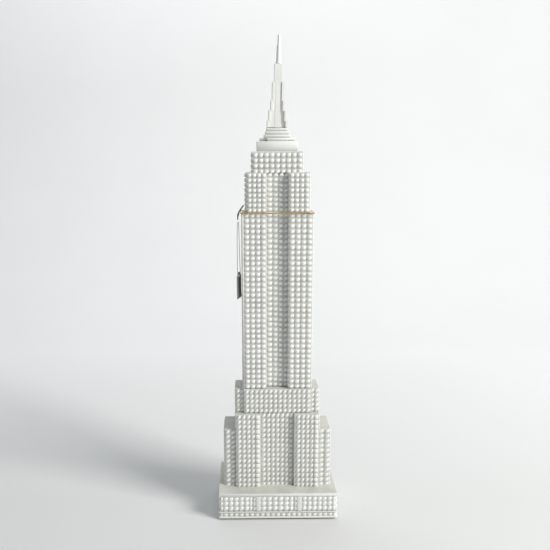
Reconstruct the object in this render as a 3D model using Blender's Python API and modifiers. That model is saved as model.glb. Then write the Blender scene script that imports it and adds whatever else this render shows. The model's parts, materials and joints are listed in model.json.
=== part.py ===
"""A stepped tower ornament in white cast resin.

Hollow castings are stacked on a plinth, keyed into each other and held together by a steel tie rod.
A leaning mast stands on a pin at the top, and a ticket hangs on a string from a rubber band.
Metres, +Z up, the front faces -Y, and the origin is on the table under the centre of the plinth.
"""

import math

import bmesh
import bpy
from mathutils import Vector

# Clearances and edges
GAP = 0.0003  # glue line between two castings, and the room round a key
CHAMFER = 0.0005
WALL = 0.006  # thickness of a hollow casting

# Levels above the table
FOOT_TOP = 0.0020
BASE = FOOT_TOP + GAP
BEAD_TOP = 0.0130
PANEL_TOP = 0.0370
PLINTH_TOP = 0.0387
PODIUM_WING_TOP = 0.1320
PODIUM_TOP = 0.1570
BELT_TOP = 0.1940
SHAFT_TOP = 0.4560
SHOULDER_TOP = 0.5120
TIER_TOP = 0.5415
DECK_TOP = 0.5555
MAST_FOOT = 0.5741
MAST_STEPS = (0.5845, 0.5985, 0.6120, 0.6365, 0.6610)
TIP = 0.7000

# Half widths (X) and half depths (Y)
PLINTH_X, PLINTH_Y = 0.0890, 0.0535
PANEL_T = 0.0060
PLINTH_WALL = 0.0080
BOARD_T = 0.0040
PODIUM_CORE_X, PODIUM_CORE_Y = 0.0430, 0.0200
PODIUM_X, PODIUM_Y = 0.0635, 0.0327
FACING_X, FACING_Y = 0.0250, 0.0260
PODIUM_WING_X, PODIUM_WING_Y = 0.0808, 0.0283
BELT_X, BELT_Y = 0.0502, 0.0260
BELT_WING_X, BELT_WING_Y = 0.0635, 0.0223
CORE_X, CORE_Y = 0.0375, 0.0140
RECESS_X = 0.0155
SHAFT_X, SHAFT_Y = 0.0520, 0.0230
SHOULDER_X = 0.0470
DECK_X, DECK_Y = 0.0290, 0.0120

# Plinth panels: where the two seams of the front face are, seen from the front
SEAM_LEFT, SEAM_RIGHT = -0.0376, 0.0236

# Crown slabs: top, half width, half depth
CROWN_SLABS = (
    (0.5600, 0.0250, 0.0095),
    (0.5646, 0.0188, 0.0105),
    (0.5692, 0.0168, 0.0098),
    (0.5735, 0.0152, 0.0092),
)
FRONT_STEP_X, FRONT_STEP_Y = 0.0145, 0.0118  # the block that projects from the lowest slab

# Mast: half widths of its body and outer edges of its fins, from the lowest step up
MAST_LEAN = math.radians(1.2)
MAST_BODY = (0.0142, 0.0124, 0.0097, 0.0079, 0.0057)
MAST_BODY_Y = 0.0050
FIN_EDGE = (0.0146, 0.0127, 0.0100, 0.0082)
FIN_WIDTH = 0.0034
FIN_OUT = 0.0084
RIB_X, RIB_Y = 0.0034, 0.0078

# Steel
ROD_R, ROD_HOLE_R = 0.0030, 0.0033
ROD_LOW, ROD_HIGH = 0.0200, 0.5490
WASHER_R, WASHER_T = 0.0090, 0.0012
NUT_R, NUT_H = 0.0058, 0.0050
PIN_R, PIN_HOLE_R, MAST_HOLE_R = 0.0025, 0.0028, 0.0031
PIN_LOW, PIN_HIGH = 0.5515, 0.5920
SCREW_X, SCREW_Y = 0.0450, 0.0435
SCREW_R, SCREW_HEAD_R, SCREW_TIP = 0.0016, 0.0034, 0.0180

# Feet
FOOT_X, FOOT_Y, FOOT_R = 0.0550, 0.0280, 0.0080

# Rubber band and strung ticket
BAND_LOW, BAND_HIGH, BAND_T = 0.4527, 0.4556, 0.0011
BAND_CORNER = 0.0024
KNOT_R = 0.0013
KNOT_ROUTE = (
    (-0.0482, -0.0262, 0.4670),
    (-0.0512, -0.0268, 0.4630),
    (-0.0543, -0.0260, 0.4580),
    (-0.0560, -0.0236, 0.4533),
    (-0.0566, -0.0207, 0.4490),
    (-0.0564, -0.0180, 0.4458),
)
PIVOT = (-0.0562, -0.0172, 0.4440)
STRING_R = 0.0005
STRING_ROUTE = (
    (-0.0567, -0.0175, 0.4428),
    (-0.0571, -0.0178, 0.4380),
    (-0.0574, -0.0180, 0.4300),
    (-0.0576, -0.0181, 0.4200),
    (-0.0577, -0.0178, 0.4100),
    (-0.0577, -0.0172, 0.4000),
    (-0.0577, -0.0164, 0.3900),
    (-0.0577, -0.0154, 0.3800),
    (-0.0577, -0.0146, 0.3720),
    (-0.0576, -0.0144, 0.3685),
    (-0.0569, -0.0143, 0.3668),
    (-0.0556, -0.0140, 0.3660),
    (-0.0543, -0.0137, 0.3668),
    (-0.0536, -0.0136, 0.3685),
    (-0.0537, -0.0139, 0.3720),
    (-0.0540, -0.0146, 0.3800),
    (-0.0543, -0.0153, 0.3900),
    (-0.0546, -0.0158, 0.4000),
    (-0.0548, -0.0162, 0.4100),
    (-0.0550, -0.0164, 0.4200),
    (-0.0551, -0.0165, 0.4300),
    (-0.0553, -0.0167, 0.4380),
    (-0.0556, -0.0170, 0.4428),
)
TICKET_X, TICKET_Y = -0.0556, -0.0140
TICKET_LOW, TICKET_TOP = 0.3310, 0.3695
TICKET_HALF, TICKET_CLIP, TICKET_T = 0.0110, 0.0060, 0.0006
TICKET_TURN = math.radians(15)
TICKET_HOLE_Z, TICKET_HOLE_R = 0.3646, 0.0024


def clear_scene():
    for obj in list(bpy.data.objects):
        bpy.data.objects.remove(obj)


def new_collection(name):
    collection = bpy.data.collections.new(name)
    bpy.context.scene.collection.children.link(collection)
    return collection


def new_material(name, colour, roughness, metallic=0.0):
    material = bpy.data.materials.new(name)
    material.use_nodes = True
    shader = material.node_tree.nodes["Principled BSDF"]
    shader.inputs["Base Color"].default_value = (*colour, 1.0)
    shader.inputs["Roughness"].default_value = roughness
    shader.inputs["Metallic"].default_value = metallic
    return material


# Shapes


def rectangle(half_x, half_y):
    return [(-half_x, -half_y), (half_x, -half_y), (half_x, half_y), (-half_x, half_y)]


def polygon(radius, sides, turn=0.0):
    angles = [turn + 2 * math.pi * i / sides for i in range(sides)]
    return [(radius * math.cos(a), radius * math.sin(a)) for a in angles]


def rounded(half_x, half_y, radius, steps=4):
    """A rectangle with round corners, anticlockwise from the right-hand end of the lower side."""
    points = []
    for corner, (sx, sy) in enumerate(((1, -1), (1, 1), (-1, 1), (-1, -1))):
        for step in range(steps + 1):
            angle = math.pi / 2 * (corner - 1 + step / steps)
            points.append(
                (
                    sx * (half_x - radius) + radius * math.cos(angle),
                    sy * (half_y - radius) + radius * math.sin(angle),
                )
            )
    return points


def smooth_route(route, spacing):
    """Points about that far apart on a Catmull-Rom curve through the route's points."""
    points = [Vector(p) for p in route]
    padded = [2 * points[0] - points[1], *points, 2 * points[-1] - points[-2]]
    found = []
    for a, b, c, d in zip(padded, padded[1:], padded[2:], padded[3:]):
        steps = max(1, round((c - b).length / spacing))
        for step in range(steps):
            t = step / steps
            found.append(
                0.5 * (2 * b + (c - a) * t + (2 * a - 5 * b + 4 * c - d) * t**2 + (3 * b - a - 3 * c + d) * t**3)
            )
    return [*found, points[-1]]


def link_mesh(name, bm, place, collection, material=None, parent=None):
    bmesh.ops.recalc_face_normals(bm, faces=bm.faces)
    mesh = bpy.data.meshes.new(name)
    bm.to_mesh(mesh)
    bm.free()
    obj = bpy.data.objects.new(name, mesh)
    collection.objects.link(obj)
    obj.location = place
    obj.parent = parent
    if material:
        mesh.materials.append(material)
    return obj


def block(name, low, high, collection, material=None, parent=None):
    """A box from its lowest to its highest corner."""
    low, high = Vector(low), Vector(high)
    bm = bmesh.new()
    bmesh.ops.create_cube(bm, size=1.0)
    bmesh.ops.scale(bm, vec=high - low, verts=bm.verts)
    return link_mesh(name, bm, (low + high) / 2, collection, material, parent)


def cylinder(name, centre, low, high, radius, collection, material=None, parent=None, sides=16):
    bm = bmesh.new()
    bmesh.ops.create_cone(bm, cap_ends=True, segments=sides, radius1=radius, radius2=radius, depth=high - low)
    place = (centre[0], centre[1], (low + high) / 2)
    return link_mesh(name, bm, place, collection, material, parent)


def prism(name, outlines, low, high, collection, material=None, parent=None, upright=False):
    """A flat outline, with any holes after it, drawn out from low to high.

    It runs along Z, or along Y when the outline stands upright in X and Z.
    """
    curve = bpy.data.curves.new(name, "CURVE")
    curve.dimensions = "2D"
    curve.fill_mode = "BOTH"
    curve.extrude = (high - low) / 2
    for outline in outlines:
        spline = curve.splines.new("POLY")
        spline.points.add(len(outline) - 1)
        for point, (x, y) in zip(spline.points, outline):
            point.co = (x, y, 0, 1)
        spline.use_cyclic_u = True
    drawn = bpy.data.objects.new(name, curve)
    bpy.context.scene.collection.objects.link(drawn)
    bpy.context.view_layer.update()
    flat = bpy.data.meshes.new_from_object(drawn.evaluated_get(bpy.context.evaluated_depsgraph_get()))
    bpy.data.objects.remove(drawn)
    bpy.data.curves.remove(curve)
    bm = bmesh.new()
    bm.from_mesh(flat)
    bpy.data.meshes.remove(flat)
    bmesh.ops.remove_doubles(bm, verts=bm.verts, dist=1e-6)
    middle = (low + high) / 2
    obj = link_mesh(name, bm, (0, 0, middle), collection, material, parent)
    if upright:
        obj.location = (0, middle, 0)
        obj.rotation_euler = (math.pi / 2, 0, 0)
    return obj


def turned(name, profile, collection, material, parent=None, steps=16):
    """A solid turned about Z. The profile is (radius, height) from the top to the bottom."""
    mesh = bpy.data.meshes.new(name)
    edges = [(i, i + 1) for i in range(len(profile) - 1)]
    mesh.from_pydata([(radius, 0, height) for radius, height in profile], edges, [])
    obj = bpy.data.objects.new(name, mesh)
    collection.objects.link(obj)
    obj.parent = parent
    screw = obj.modifiers.new("turn", "SCREW")
    screw.steps = screw.render_steps = steps
    screw.use_merge_vertices = True
    screw.merge_threshold = 0.00001
    screw.use_smooth_shade = True
    mesh.materials.append(material)
    return obj


def tube(name, points, radius, collection, material, parent=None):
    curve = bpy.data.curves.new(name, "CURVE")
    curve.dimensions = "3D"
    curve.bevel_depth = radius
    curve.bevel_resolution = 2
    curve.use_fill_caps = True
    spline = curve.splines.new("POLY")
    spline.points.add(len(points) - 1)
    for point, place in zip(spline.points, points):
        point.co = (*place, 1)
    curve.materials.append(material)
    obj = bpy.data.objects.new(name, curve)
    collection.objects.link(obj)
    obj.parent = parent
    return obj


# Cuts, keys and edges


def modify(obj, operation, other):
    """Cuts the other shape from this piece, or joins it to the piece."""
    other.hide_render = True
    other.display_type = "WIRE"
    boolean = obj.modifiers.new(f"{operation.lower()} {other.name}", "BOOLEAN")
    boolean.operation = operation
    boolean.object = other


def cut_block(obj, low, high, parent=None):
    modify(obj, "DIFFERENCE", block(f"{obj.name}_cut", low, high, CUTTERS, parent=parent))


def cut_hole(obj, centre, low, high, radius, parent=None):
    modify(obj, "DIFFERENCE", cylinder(f"{obj.name}_hole", centre, low, high, radius, CUTTERS, parent=parent))


def key(tongue, grooves, low, high):
    """A tongue on one piece, and a groove for it in each of the others."""
    low, high = Vector(low), Vector(high)
    room = Vector((GAP, GAP, GAP))
    modify(tongue, "UNION", block(f"{tongue.name}_key", low, high, CUTTERS))
    for piece in grooves:
        cut_block(piece, low - room, high + room)


def chamfer(obj, width=CHAMFER):
    bevel = obj.modifiers.new("chamfer", "BEVEL")
    bevel.width = width
    bevel.segments = 1
    bevel.limit_method = "ANGLE"
    return obj


def ordered(a, b):
    return min(a, b), max(a, b)


def side_block(side, inner, outer, low, high):
    """The corners of a box that lies on the +X side, or mirrored on the -X side. Low and high are (y, z)."""
    x_low, x_high = ordered(side * inner, side * outer)
    return (x_low, *low), (x_high, *high)


SIDES = (("left", -1), ("right", 1))
FACES = (("front", -1), ("back", 1))


# Base


def make_feet():
    for face, fy in FACES:
        for side, fx in SIDES:
            cylinder(f"foot_{face}_{side}", (fx * FOOT_X, fy * FOOT_Y), 0, FOOT_TOP, FOOT_R, TOWER, FELT)


def make_base_board():
    """A board that lies in a rebate under the plinth's walls."""
    x, y = PLINTH_X - PANEL_T, PLINTH_Y - PANEL_T
    board = block("base_board", (-x, -y, BASE), (x, y, BASE + BOARD_T), TOWER, BOARD)
    head_room = SCREW_HEAD_R + GAP
    for fx in (-1, 1):
        for fy in (-1, 1):
            place = (fx * SCREW_X, fy * SCREW_Y)
            cut_hole(board, place, BASE - 0.001, BASE + 0.0022, head_room)
            cut_hole(board, place, BASE - 0.001, BASE + BOARD_T + 0.001, SCREW_R + GAP)


def make_screws():
    head = BASE + GAP
    profile = (
        (0, SCREW_TIP),
        (SCREW_R * 0.5, SCREW_TIP - 0.001),
        (SCREW_R, SCREW_TIP - 0.004),
        (SCREW_R, head + 0.0018),
        (SCREW_HEAD_R, head + 0.0004),
        (SCREW_HEAD_R, head),
        (0, head),
    )
    for face, fy in FACES:
        for side, fx in SIDES:
            screw = turned(f"base_screw_{face}_{side}", profile, TOWER, STEEL, steps=12)
            screw.location = (fx * SCREW_X, fy * SCREW_Y, 0)


def make_plinth():
    """Four walls with a foot course, under a top slab with a thin lip. Facing panels lie in the channel between them."""
    face_x, face_y = PLINTH_X - PANEL_T, PLINTH_Y - PANEL_T
    cavity_x, cavity_y = face_x - PLINTH_WALL, face_y - PLINTH_WALL
    board_top, roof = BASE + BOARD_T + GAP, PLINTH_TOP - WALL
    top = block("plinth_top", (-PLINTH_X, -PLINTH_Y, PANEL_TOP), (PLINTH_X, PLINTH_Y, PLINTH_TOP), TOWER, PAINT)
    chamfer(top)
    modify(top, "UNION", block("plinth_slab", (-face_x, -face_y, roof), (face_x, face_y, PANEL_TOP + 0.001), CUTTERS))
    wall_top = roof - GAP
    walls = {}
    for side, fy in FACES:
        name = f"plinth_wall_{side}"
        y_low, y_high = ordered(fy * cavity_y, fy * PLINTH_Y)
        wall = chamfer(block(name, (-PLINTH_X, y_low, BASE), (PLINTH_X, y_high, BEAD_TOP), TOWER, PAINT))
        y_low, y_high = ordered(fy * cavity_y, fy * face_y)
        low, high = (-face_x, y_low, BEAD_TOP - 0.001), (face_x, y_high, wall_top)
        modify(wall, "UNION", block(f"{name}_upper", low, high, CUTTERS))
        y_low, y_high = ordered(fy * (cavity_y - GAP), fy * (face_y + GAP))
        cut_block(wall, (-face_x - GAP, y_low, 0), (face_x + GAP, y_high, board_top))
        for fx in (-1, 1):
            cut_hole(wall, (fx * SCREW_X, fy * SCREW_Y), 0, SCREW_TIP + 0.001, SCREW_R + GAP)
        y_low, y_high = ordered(fy * (face_y - 0.005), fy * (face_y - 0.003))
        key(wall, [top], (-0.020, y_low, wall_top - 0.002), (0.020, y_high, wall_top + 0.003))
        walls[side] = wall
    reach = cavity_y - GAP
    for side, fx in SIDES:
        corners = side_block(fx, cavity_x, PLINTH_X, (-reach, BASE), (reach, BEAD_TOP))
        wall = chamfer(block(f"plinth_wall_{side}", *corners, TOWER, PAINT))
        corners = side_block(fx, cavity_x, face_x, (-reach, BEAD_TOP - 0.001), (reach, wall_top))
        modify(wall, "UNION", block(f"{wall.name}_upper", *corners, CUTTERS))
        cut_block(wall, *side_block(fx, cavity_x - GAP, face_x + GAP, (-reach - GAP, 0), (reach + GAP, board_top)))
        corners = side_block(fx, face_x - 0.005, face_x - 0.003, (-0.012, wall_top - 0.002), (0.012, wall_top + 0.003))
        key(wall, [top], *corners)
        walls[side] = wall
    return top, walls


def make_panels(walls):
    """Three panels on the front, the same three turned round on the back, and one on each end."""
    low, high = BEAD_TOP + GAP, PANEL_TOP - GAP
    key_top = PLINTH_TOP - WALL - 0.005
    inner, outer = PLINTH_Y - PANEL_T + GAP, PLINTH_Y
    spans = {
        "left": (-PLINTH_X, SEAM_LEFT - GAP / 2),
        "middle": (SEAM_LEFT + GAP / 2, SEAM_RIGHT - GAP / 2),
        "right": (SEAM_RIGHT + GAP / 2, PLINTH_X),
    }
    for face, fy in FACES:
        for part, (start, end) in spans.items():
            x_low, x_high = ordered(-fy * start, -fy * end)
            y_low, y_high = ordered(fy * inner, fy * outer)
            name = f"plinth_panel_{face}_{part}"
            panel = chamfer(block(name, (x_low, y_low, low), (x_high, y_high, high), TOWER, PAINT), 0.0003)
            middle = (x_low + x_high) / 2
            k_low, k_high = ordered(fy * (inner + 0.002), fy * (inner - 0.002))
            low_corner, high_corner = (middle - 0.006, k_low, low + 0.005), (middle + 0.006, k_high, key_top)
            key(panel, [walls[face]], low_corner, high_corner)
    reach = inner - 2 * GAP
    for side, fx in SIDES:
        start = PLINTH_X - PANEL_T + GAP
        corners = side_block(fx, start, PLINTH_X, (-reach, low), (reach, high))
        panel = chamfer(block(f"plinth_panel_{side}", *corners, TOWER, PAINT), 0.0003)
        corners = side_block(fx, start - 0.002, start + 0.002, (-0.006, low + 0.005), (0.006, key_top))
        key(panel, [walls[side]], *corners)


# Podium and belt


def hollow_block(name, half_x, half_y, low, high):
    """A closed hollow casting with a floor and a roof. Its hollow opens through the tie rod's holes."""
    casting = chamfer(block(name, (-half_x, -half_y, low), (half_x, half_y, high), TOWER, PAINT))
    x, y = half_x - WALL, half_y - WALL
    cut_block(casting, (-x, -y, low + WALL), (x, y, high - WALL))
    return casting


def locate(lower, upper, level, half_x, half_y):
    """A boss on the lower casting's roof, in a socket in the upper one's floor."""
    key(lower, [upper], (-half_x, -half_y, level - 0.002), (half_x, half_y, level + 0.003))


def drill(casting, low, high):
    """The tie rod's hole, from under the casting's floor to over its roof."""
    cut_hole(casting, (0, 0), low - WALL, high + WALL, ROD_HOLE_R)


def make_podium(plinth_top):
    low = PLINTH_TOP + GAP
    core = hollow_block("podium_core", PODIUM_CORE_X, PODIUM_CORE_Y, low, PODIUM_TOP)
    locate(plinth_top, core, PLINTH_TOP, 0.014, 0.009)
    face_y = PODIUM_CORE_Y + GAP
    corners = {}
    for face, fy in FACES:
        for side, fx in SIDES:
            outline = [
                (FACING_X, face_y),
                (PODIUM_CORE_X + GAP, face_y),
                (PODIUM_CORE_X + GAP, GAP / 2),
                (PODIUM_X, GAP / 2),
                (PODIUM_X, PODIUM_Y),
                (FACING_X, PODIUM_Y),
            ]
            outline = [(fx * x, fy * y) for x, y in outline]
            name = f"podium_corner_{face}_{side}"
            corner = chamfer(prism(name, [outline], low, PODIUM_TOP, TOWER, PAINT))
            start = PODIUM_CORE_X + GAP
            y_low, y_high = ordered(fy * 0.007, fy * 0.013)
            key(corner, [core], *side_block(fx, start - 0.002, start + 0.002, (y_low, 0.060), (y_high, 0.140)))
            corners[face, side] = corner
        y_low, y_high = ordered(fy * face_y, fy * FACING_Y)
        half = FACING_X - GAP
        name = f"podium_facing_{face}"
        facing = chamfer(block(name, (-half, y_low, low), (half, y_high, PODIUM_TOP), TOWER, PAINT))
        y_low, y_high = ordered(fy * (face_y - 0.002), fy * (face_y + 0.002))
        key(facing, [core], (-0.006, y_low, 0.060), (0.006, y_high, 0.140))
    start = PODIUM_X + GAP
    for side, fx in SIDES:
        box = side_block(fx, start, PODIUM_WING_X, (-PODIUM_WING_Y, low), (PODIUM_WING_Y, PODIUM_WING_TOP))
        wing = chamfer(block(f"podium_wing_{side}", *box, TOWER, PAINT))
        box = side_block(fx, start - 0.003, start + 0.002, (-0.008, 0.055), (0.008, 0.115))
        key(wing, [corners["front", side], corners["back", side]], *box)
    return core


def make_belt(podium_core):
    low = PODIUM_TOP + GAP
    belt = hollow_block("belt_block", BELT_X, BELT_Y, low, BELT_TOP)
    locate(podium_core, belt, PODIUM_TOP, 0.020, 0.010)
    start = BELT_X + GAP
    for side, fx in SIDES:
        box = side_block(fx, start, BELT_WING_X, (-BELT_WING_Y, low), (BELT_WING_Y, BELT_TOP))
        wing = chamfer(block(f"belt_wing_{side}", *box, TOWER, PAINT))
        box = side_block(fx, start - 0.002, start + 0.002, (-0.008, 0.165), (0.008, 0.185))
        key(wing, [belt], *box)
    return belt


# Shaft


def flank(name, fx, outer_x, low, high, core):
    """A C-shaped casting that wraps one end of the tower core and leaves the middle of each face recessed."""
    x, y = CORE_X + GAP, CORE_Y + GAP
    half = [(RECESS_X, SHAFT_Y), (RECESS_X, y), (x, y)]
    outline = [(outer_x, SHAFT_Y), *half]
    outline += [(px, -py) for px, py in reversed(outline)]
    outline = [(fx * px, py) for px, py in outline]
    piece = chamfer(prism(name, [outline], low, high, TOWER, PAINT))
    key_low, key_high = low + 0.015, high - 0.015
    key(piece, [core], *side_block(fx, x - 0.002, x + 0.002, (-0.004, key_low), (0.004, key_high)))


def make_shaft(belt):
    low = BELT_TOP + GAP
    core = hollow_block("tower_core", CORE_X, CORE_Y, low, TIER_TOP)
    locate(belt, core, BELT_TOP, 0.020, 0.008)
    for side, fx in SIDES:
        flank(f"shaft_flank_{side}", fx, SHAFT_X, low, SHAFT_TOP, core)
        flank(f"shoulder_flank_{side}", fx, SHOULDER_X, SHAFT_TOP + GAP, SHOULDER_TOP, core)
    return core


# Crown and mast


def make_deck(core):
    low = TIER_TOP + GAP
    deck = chamfer(block("deck_block", (-DECK_X, -DECK_Y, low), (DECK_X, DECK_Y, DECK_TOP), TOWER, PAINT))
    nut_room = WASHER_R + GAP
    cut_block(deck, (-nut_room, -nut_room, TIER_TOP - 0.001), (nut_room, nut_room, ROD_HIGH + 0.002))
    for fx in (-1, 1):
        key(core, [deck], *side_block(fx, 0.016, 0.022, (-0.003, TIER_TOP - 0.002), (0.003, TIER_TOP + 0.003)))
    cut_hole(deck, (0, 0), ROD_HIGH, DECK_TOP + 0.001, PIN_HOLE_R)


def make_crown_slabs():
    low = DECK_TOP + GAP
    hole = polygon(PIN_HOLE_R, 16)
    for number, (top, half_x, half_y) in enumerate(CROWN_SLABS, start=1):
        outline = rectangle(half_x, half_y)
        if number == 1:
            x, y = FRONT_STEP_X, FRONT_STEP_Y
            outline = [(-half_x, -half_y), (-x, -half_y), (-x, -y), (x, -y), (x, -half_y), (half_x, -half_y)]
            outline += [(-px, -py) for px, py in outline]
        chamfer(prism(f"crown_slab_{number}", [outline, hole], low, top, TOWER, PAINT), 0.0003)
        low = top + GAP


def stair(edges, levels):
    """Corners of a stair that rises inwards: out to each edge, up to its level, and in to the next edge."""
    points = []
    for edge, level, base in zip(edges, levels, (0, *levels)):
        points += [(edge, base), (edge, level)]
    return points


def make_mast():
    lean = bpy.data.objects.new("mast_lean", None)
    TOWER.objects.link(lean)
    lean.location = (0, 0, MAST_FOOT)
    lean.rotation_euler = (0, MAST_LEAN, 0)
    levels = [level - MAST_FOOT for level in MAST_STEPS]
    right = stair(MAST_BODY, levels)
    outline = right + [(-x, z) for x, z in reversed(right)]
    mast = prism("mast_core", [outline], -MAST_BODY_Y, MAST_BODY_Y, TOWER, PAINT, lean, upright=True)
    chamfer(mast, 0.0003)
    rib = block("mast_rib", (-RIB_X, -RIB_Y, 0.0001), (RIB_X, RIB_Y, levels[3]), CUTTERS, parent=lean)
    modify(mast, "UNION", rib)
    cut_hole(mast, (0, 0), -0.001, PIN_HIGH + 0.002 - MAST_FOOT, MAST_HOLE_R, lean)
    cut_hole(mast, (0, 0), levels[4] - 0.006, levels[4] + 0.001, 0.0024, lean)
    outer = stair(FIN_EDGE, levels[:4])
    inner = [(x - FIN_WIDTH, z) for x, z in outer]
    bottom, top = inner[0], inner[-1]
    inside = [bottom]
    for (x, z), (next_x, _) in zip(inner[1:-1:2], inner[2::2]):
        inside += [(x, z - FIN_WIDTH / 2), (next_x, z - FIN_WIDTH / 2)]
    inside.append(top)
    for face, fy in FACES:
        for side, fx in SIDES:
            fin = [(fx * x, z) for x, z in outer + inside[::-1]]
            y_low, y_high = ordered(fy * (MAST_BODY_Y + GAP), fy * FIN_OUT)
            name = f"mast_fin_{face}_{side}"
            chamfer(prism(name, [fin], y_low, y_high, TOWER, PAINT, lean, upright=True), 0.0003)
    profile = (
        (0, 0.0390),
        (0.0015, 0.0387),
        (0.0018, 0.0380),
        (0.0020, 0.0255),
        (0.0029, 0.0245),
        (0.0033, 0.0030),
        (0.0042, 0.0020),
        (0.0044, 0.0003),
        (0.0020, 0.0003),
        (0.0020, -0.0055),
        (0, -0.0055),
    )
    spire = turned("spire", profile, TOWER, PAINT, lean)
    spire.location = (0, 0, levels[4])
    cylinder("mast_pin", (0, 0), PIN_LOW, PIN_HIGH, PIN_R, TOWER, STEEL)


def make_tie_rod():
    cylinder("tie_rod", (0, 0), ROD_LOW, ROD_HIGH, ROD_R, TOWER, STEEL)
    hole = polygon(ROD_HOLE_R, 16)
    washer = [polygon(WASHER_R, 24), hole]
    nut = [polygon(NUT_R, 6), hole]
    roof = PLINTH_TOP - WALL - GAP
    prism("tie_rod_washer_lower", washer, roof - WASHER_T, roof, TOWER, STEEL)
    roof -= WASHER_T + GAP
    prism("tie_rod_nut_lower", nut, roof - NUT_H, roof, TOWER, STEEL)
    floor = TIER_TOP + GAP
    prism("tie_rod_washer_upper", washer, floor, floor + WASHER_T, TOWER, STEEL)
    floor += WASHER_T + GAP
    prism("tie_rod_nut_upper", nut, floor, floor + NUT_H, TOWER, STEEL)


# Band, string and ticket


def make_band():
    inner_x, inner_y = SHAFT_X + GAP, SHAFT_Y + GAP
    outer = rounded(inner_x + BAND_T, inner_y + BAND_T, BAND_CORNER)
    inner = rounded(inner_x, inner_y, BAND_CORNER - BAND_T)
    prism("rubber_band", [outer, inner], BAND_LOW, BAND_HIGH, TOWER, RUBBER)
    tube("band_knot", smooth_route(KNOT_ROUTE, 0.0025), KNOT_R, TOWER, RUBBER)


def make_tag():
    pivot = bpy.data.objects.new("tag_pivot", None)
    TOWER.objects.link(pivot)
    pivot.location = PIVOT
    route = [p - Vector(PIVOT) for p in smooth_route(STRING_ROUTE, 0.0027)]
    tube("tag_string", route, STRING_R, TOWER, STRING, pivot)
    shoulder = TICKET_TOP - TICKET_CLIP
    outline = [
        (-TICKET_HALF, TICKET_LOW),
        (TICKET_HALF, TICKET_LOW),
        (TICKET_HALF, shoulder),
        (TICKET_HALF - TICKET_CLIP, TICKET_TOP),
        (TICKET_CLIP - TICKET_HALF, TICKET_TOP),
        (-TICKET_HALF, shoulder),
    ]
    hole = [(x, z + TICKET_HOLE_Z) for x, z in polygon(TICKET_HOLE_R, 16)]
    local = [[(x, z - PIVOT[2]) for x, z in loop] for loop in (outline, hole)]
    ticket = prism("ticket", local, -TICKET_T / 2, TICKET_T / 2, TOWER, CARD, pivot, upright=True)
    ticket.location = (TICKET_X - PIVOT[0], TICKET_Y - PIVOT[1], 0)
    ticket.rotation_euler = (math.pi / 2, 0, math.pi / 2 - TICKET_TURN)


clear_scene()
TOWER = new_collection("stepped_tower")
CUTTERS = new_collection("cutters")
PAINT = new_material("white paint on resin", (0.83, 0.83, 0.80), 0.62)
FELT = new_material("grey felt", (0.12, 0.12, 0.12), 0.95)
BOARD = new_material("fibreboard", (0.42, 0.29, 0.18), 0.80)
STEEL = new_material("zinc-plated steel", (0.62, 0.62, 0.60), 0.35, 1.0)
RUBBER = new_material("tan rubber", (0.52, 0.30, 0.10), 0.55)
STRING = new_material("cotton string", (0.72, 0.70, 0.64), 0.90)
CARD = new_material("ticket card", (0.50, 0.47, 0.42), 0.85)

make_feet()
make_base_board()
make_screws()
plinth_top, plinth_walls = make_plinth()
make_panels(plinth_walls)
podium_core = make_podium(plinth_top)
belt_block = make_belt(podium_core)
tower_core = make_shaft(belt_block)
make_deck(tower_core)
drill(plinth_top, PLINTH_TOP - WALL, PLINTH_TOP)
drill(podium_core, PLINTH_TOP, PODIUM_TOP)
drill(belt_block, PODIUM_TOP, BELT_TOP)
drill(tower_core, BELT_TOP, TIER_TOP)
make_crown_slabs()
make_mast()
make_tie_rod()
make_band()
make_tag()
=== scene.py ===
"""Looks of the stepped tower: studded, painted castings, a leaning mast, and a ticket on a rubber band.

Metres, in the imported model's frame; the front faces -Y. A casting's CAD walls lie at the height of its studs'
tips, so each studded wall here stands back from its CAD face by the height of a stud, and by a little more at
the front and back of the wings.
"""

import json
import math

import bmesh
import bpy
import numpy as np
from mathutils import Matrix, Vector


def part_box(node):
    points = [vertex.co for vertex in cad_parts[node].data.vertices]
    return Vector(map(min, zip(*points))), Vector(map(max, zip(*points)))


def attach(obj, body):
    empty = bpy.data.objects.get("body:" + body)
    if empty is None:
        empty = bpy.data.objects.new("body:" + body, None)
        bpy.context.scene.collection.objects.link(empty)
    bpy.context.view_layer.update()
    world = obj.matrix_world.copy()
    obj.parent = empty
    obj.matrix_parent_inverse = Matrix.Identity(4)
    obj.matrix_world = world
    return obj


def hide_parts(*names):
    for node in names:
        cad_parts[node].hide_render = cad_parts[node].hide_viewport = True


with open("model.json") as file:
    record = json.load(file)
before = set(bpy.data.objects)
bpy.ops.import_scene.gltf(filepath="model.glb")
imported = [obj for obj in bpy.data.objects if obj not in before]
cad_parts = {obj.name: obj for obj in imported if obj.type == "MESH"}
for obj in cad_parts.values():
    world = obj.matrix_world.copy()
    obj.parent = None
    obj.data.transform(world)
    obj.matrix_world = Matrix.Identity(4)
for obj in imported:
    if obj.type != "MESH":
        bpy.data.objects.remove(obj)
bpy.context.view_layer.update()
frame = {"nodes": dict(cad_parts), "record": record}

SIDES = (("left", -1), ("right", 1))
FACES = (("front", -1), ("back", 1))

# Studs, in metres
STUD = 0.0024  # how far a stud stands out of its wall
LOW_STUD = 0.0011  # the same on the sides that a casting names as low
FULL_CELL = 0.0064  # studs in narrower cells are lower
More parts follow.
